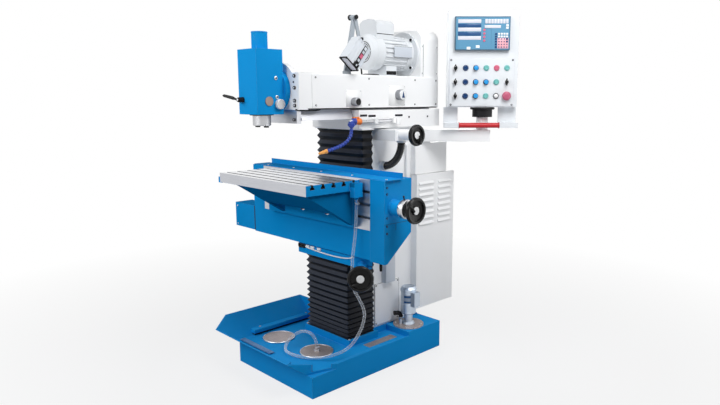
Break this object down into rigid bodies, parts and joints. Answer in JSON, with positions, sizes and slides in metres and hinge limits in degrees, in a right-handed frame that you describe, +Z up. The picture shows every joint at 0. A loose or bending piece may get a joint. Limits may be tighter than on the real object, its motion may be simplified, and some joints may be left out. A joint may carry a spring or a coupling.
{
  "type": "milling machine",
  "caption": "Universal tool milling machine: slotted table on a rising knee, sliding ram with a swivelling vertical head, chip pan base and a swinging control pendant.",
  "frame": {"origin": "on the floor under the middle of the base", "axes": "+Z up, the operator stands at -Y and +X is the operator's right hand"},
  "size_m": [1.449, 1.4599, 1.864],
  "materials": {
    "blue_paint": "gloss machine enamel",
    "white_paint": "gloss machine enamel",
    "ground_iron": "ground",
    "spindle_steel": "ground and blued",
    "plate_grey": "oily rolled plate",
    "pump_silver": "silver enamel",
    "bellows_black": "coated cloth",
    "wheel_black": "satin black",
    "black_plastic": "moulded",
    "conduit_black": "ribbed",
    "clear_hose": "clear vinyl",
    "coolant_blue": "moulded",
    "valve_orange": "moulded",
    "lamp_white": "moulded",
    "readout_blue": "moulded",
    "knob_silver": "turned",
    "handle_red": "powder coat",
    "button_blue": "moulded",
    "button_navy": "moulded",
    "button_green": "moulded",
    "button_red": "moulded"
  },
  "bodies": {
    "frame": {"base": "blue_paint", "sump_covers": "plate_grey", "coolant_pump": "pump_silver", "column": "white_paint", "cabinet": "white_paint", "bellows_lower": "bellows_black", "bellows_upper": "bellows_black", "lift_screw": "spindle_steel", "saddle": "white_paint", "cross_feed_box": "white_paint", "conduit": "conduit_black", "coolant_pipe": "spindle_steel", "nozzle_hose": "coolant_blue", "pendant_arm": "white_paint", "drain_hose_low": "clear_hose"},
    "knee": {"knee": "blue_paint", "lift_box": "blue_paint", "drain_hose_top": "clear_hose"},
    "table": {"vertical_table": "blue_paint", "end_bracket": "blue_paint", "chip_guard": "blue_paint", "work_table": "ground_iron"},
    "ram": {"ram": "white_paint", "motor": "white_paint", "drive_cover": "white_paint"},
    "pendant": {"pendant_box": "white_paint", "pendant_collar": "black_plastic", "readout": "readout_blue", "pendant_handle": "handle_red"},
    "handwheel_lift": {"handwheel_lift": "wheel_black"},
    "handwheel_long": {"handwheel_long": "wheel_black"},
    "handwheel_cross": {"handwheel_cross": "wheel_black"},
    "coolant_valve": {"coolant_valve": "valve_orange"},
    "speed_knob": {"speed_knob": "knob_silver"},
    "range_knob": {"range_knob": "knob_silver"},
    "lamp_stem": {"lamp_stem": "white_paint"},
    "lamp_arm": {"lamp_arm": "white_paint"},
    "lamp_head": {"lamp_head": "lamp_white"},
    "head": {"head": "blue_paint"},
    "quill": {"quill": "spindle_steel"},
    "spindle": {"spindle": "spindle_steel"},
    "head_lever": {"head_lever": "black_plastic"},
    "head_knob": {"head_knob": "knob_silver"},
    "selector_a": {"selector_a": "black_plastic"},
    "button_a": {"button_a": "button_navy"},
    "button_d": {"button_d": "button_blue"},
    "button_g": {"button_g": "button_green"},
    "button_j": {"button_j": "button_red"},
    "button_m": {"button_m": "button_green"},
    "selector_b": {"selector_b": "black_plastic"},
    "button_b": {"button_b": "button_navy"},
    "button_e": {"button_e": "button_blue"},
    "button_h": {"button_h": "button_blue"},
    "button_k": {"button_k": "button_green"},
    "selector_d": {"selector_d": "black_plastic"},
    "selector_c": {"selector_c": "black_plastic"},
    "button_c": {"button_c": "button_navy"},
    "button_f": {"button_f": "button_blue"},
    "button_i": {"button_i": "button_green"},
    "stop_button": {"stop_button": "button_red"}
  },
  "joints": [
    {"name": "knee_lift", "type": "slide", "parent": "frame", "child": "knee", "axis": [0, 0, 1], "range_m": [-0.26, 0.11], "deforming": ["bellows_lower", "bellows_upper", "drain_hose_low"]},
    {"name": "lift_wheel_turn", "type": "hinge", "parent": "knee", "child": "handwheel_lift", "pos_m": [0.41698, -0.24698, 0.568], "axis": [0.7071, -0.7071, 0], "continuous": true},
    {"name": "table_feed", "type": "slide", "parent": "knee", "child": "table", "axis": [1, 0, 0], "range_m": [-0.115, 0.29], "deforming": ["drain_hose_top"]},
    {"name": "long_wheel_turn", "type": "hinge", "parent": "table", "child": "handwheel_long", "pos_m": [0.582, -0.066, 0.888], "axis": [1, 0, 0], "continuous": true},
    {"name": "ram_feed", "type": "slide", "parent": "frame", "child": "ram", "axis": [0, 1, 0], "range_m": [-0.105, 0.2]},
    {"name": "cross_wheel_turn", "type": "hinge", "parent": "frame", "child": "handwheel_cross", "pos_m": [0.386, 0.153, 1.217], "axis": [1, 0, 0], "continuous": true},
    {"name": "head_swivel", "type": "hinge", "parent": "ram", "child": "head", "pos_m": [0, -0.386, 1.437], "axis": [0, 1, 0], "range_deg": [-45, 45]},
    {"name": "quill_feed", "type": "slide", "parent": "head", "child": "quill", "axis": [0, 0, 1], "range_m": [-0.08, 0]},
    {"name": "spindle_turn", "type": "hinge", "parent": "quill", "child": "spindle", "pos_m": [0, -0.484, 1.3], "axis": [0, 0, 1], "continuous": true},
    {"name": "quill_clamp", "type": "hinge", "parent": "head", "child": "head_lever", "pos_m": [-0.04, -0.556, 1.392], "axis": [0, 1, 0], "range_deg": [-35, 35]},
    {"name": "quill_knob_turn", "type": "hinge", "parent": "head", "child": "head_knob", "pos_m": [0.075, -0.437, 1.372], "axis": [1, 0, 0], "continuous": true},
    {"name": "speed_select", "type": "hinge", "parent": "ram", "child": "speed_knob", "pos_m": [0.163, -0.05, 1.381], "axis": [1, 0, 0], "range_deg": [-120, 120]},
    {"name": "range_select", "type": "hinge", "parent": "ram", "child": "range_knob", "pos_m": [0.163, 0.272, 1.416], "axis": [1, 0, 0], "range_deg": [-60, 60]},
    {"name": "lamp_swing", "type": "hinge", "parent": "ram", "child": "lamp_stem", "pos_m": [0.124, -0.06, 1.516], "axis": [0, 0, 1], "range_deg": [-90, 90]},
    {"name": "lamp_fold", "type": "hinge", "parent": "lamp_stem", "child": "lamp_arm", "pos_m": [0.132, -0.01, 1.7944], "axis": [1, 0, 0], "range_deg": [-100, 15]},
    {"name": "lamp_tilt", "type": "hinge", "parent": "lamp_arm", "child": "lamp_head", "pos_m": [0.143, 0.017, 1.6904], "axis": [1, 0, 0], "range_deg": [-40, 40]},
    {"name": "coolant_tap", "type": "hinge", "parent": "frame", "child": "coolant_valve", "pos_m": [0.2, -0.057, 1.29], "axis": [0, 0, 1], "range_deg": [0, 90]},
    {"name": "pendant_swing", "type": "hinge", "parent": "frame", "child": "pendant", "pos_m": [0.39414, 0.70314, 1.29], "axis": [0, 0, 1], "range_deg": [-60, 60]},
    {"name": "selector_a_turn", "type": "hinge", "parent": "pendant", "child": "selector_a", "pos_m": [0.31353, 0.55889, 1.561], "axis": [0.7071, -0.7071, 0], "range_deg": [-45, 45]},
    {"name": "button_a_press", "type": "slide", "parent": "pendant", "child": "button_a", "axis": [-0.7071, 0.7071, 0], "range_m": [0, 0.0035], "stiffness_N_per_m": 700},
    {"name": "button_d_press", "type": "slide", "parent": "pendant", "child": "button_d", "axis": [-0.7071, 0.7071, 0], "range_m": [0, 0.0035], "stiffness_N_per_m": 700},
    {"name": "button_g_press", "type": "slide", "parent": "pendant", "child": "button_g", "axis": [-0.7071, 0.7071, 0], "range_m": [0, 0.0035], "stiffness_N_per_m": 700},
    {"name": "button_j_press", "type": "slide", "parent": "pendant", "child": "button_j", "axis": [-0.7071, 0.7071, 0], "range_m": [0, 0.0035], "stiffness_N_per_m": 700},
    {"name": "button_m_press", "type": "slide", "parent": "pendant", "child": "button_m", "axis": [-0.7071, 0.7071, 0], "range_m": [0, 0.0035], "stiffness_N_per_m": 700},
    {"name": "selector_b_turn", "type": "hinge", "parent": "pendant", "child": "selector_b", "pos_m": [0.31353, 0.55889, 1.486], "axis": [0.7071, -0.7071, 0], "range_deg": [-45, 45]},
    {"name": "button_b_press", "type": "slide", "parent": "pendant", "child": "button_b", "axis": [-0.7071, 0.7071, 0], "range_m": [0, 0.0035], "stiffness_N_per_m": 700},
    {"name": "button_e_press", "type": "slide", "parent": "pendant", "child": "button_e", "axis": [-0.7071, 0.7071, 0], "range_m": [0, 0.0035], "stiffness_N_per_m": 700},
    {"name": "button_h_press", "type": "slide", "parent": "pendant", "child": "button_h", "axis": [-0.7071, 0.7071, 0], "range_m": [0, 0.0035], "stiffness_N_per_m": 700},
    {"name": "button_k_press", "type": "slide", "parent": "pendant", "child": "button_k", "axis": [-0.7071, 0.7071, 0], "range_m": [0, 0.0035], "stiffness_N_per_m": 700},
    {"name": "selector_d_turn", "type": "hinge", "parent": "pendant", "child": "selector_d", "pos_m": [0.51152, 0.75688, 1.486], "axis": [0.7071, -0.7071, 0], "range_deg": [-45, 45]},
    {"name": "selector_c_turn", "type": "hinge", "parent": "pendant", "child": "selector_c", "pos_m": [0.31353, 0.55889, 1.411], "axis": [0.7071, -0.7071, 0], "range_deg": [-45, 45]},
    {"name": "button_c_press", "type": "slide", "parent": "pendant", "child": "button_c", "axis": [-0.7071, 0.7071, 0], "range_m": [0, 0.0035], "stiffness_N_per_m": 700},
    {"name": "button_f_press", "type": "slide", "parent": "pendant", "child": "button_f", "axis": [-0.7071, 0.7071, 0], "range_m": [0, 0.0035], "stiffness_N_per_m": 700},
    {"name": "button_i_press", "type": "slide", "parent": "pendant", "child": "button_i", "axis": [-0.7071, 0.7071, 0], "range_m": [0, 0.0035], "stiffness_N_per_m": 700},
    {"name": "stop_button_press", "type": "slide", "parent": "pendant", "child": "stop_button", "axis": [-0.7071, 0.7071, 0], "range_m": [0, 0.005], "stiffness_N_per_m": 1200}
  ],
  "couplings": [
    {"joint": "lift_wheel_turn", "follows": "knee_lift", "rad_per_m": -1256.6},
    {"joint": "long_wheel_turn", "follows": "table_feed", "rad_per_m": 1256.6},
    {"joint": "cross_wheel_turn", "follows": "ram_feed", "rad_per_m": 1256.6},
    {"joint": "quill_knob_turn", "follows": "quill_feed", "rad_per_m": 314.16}
  ]
}
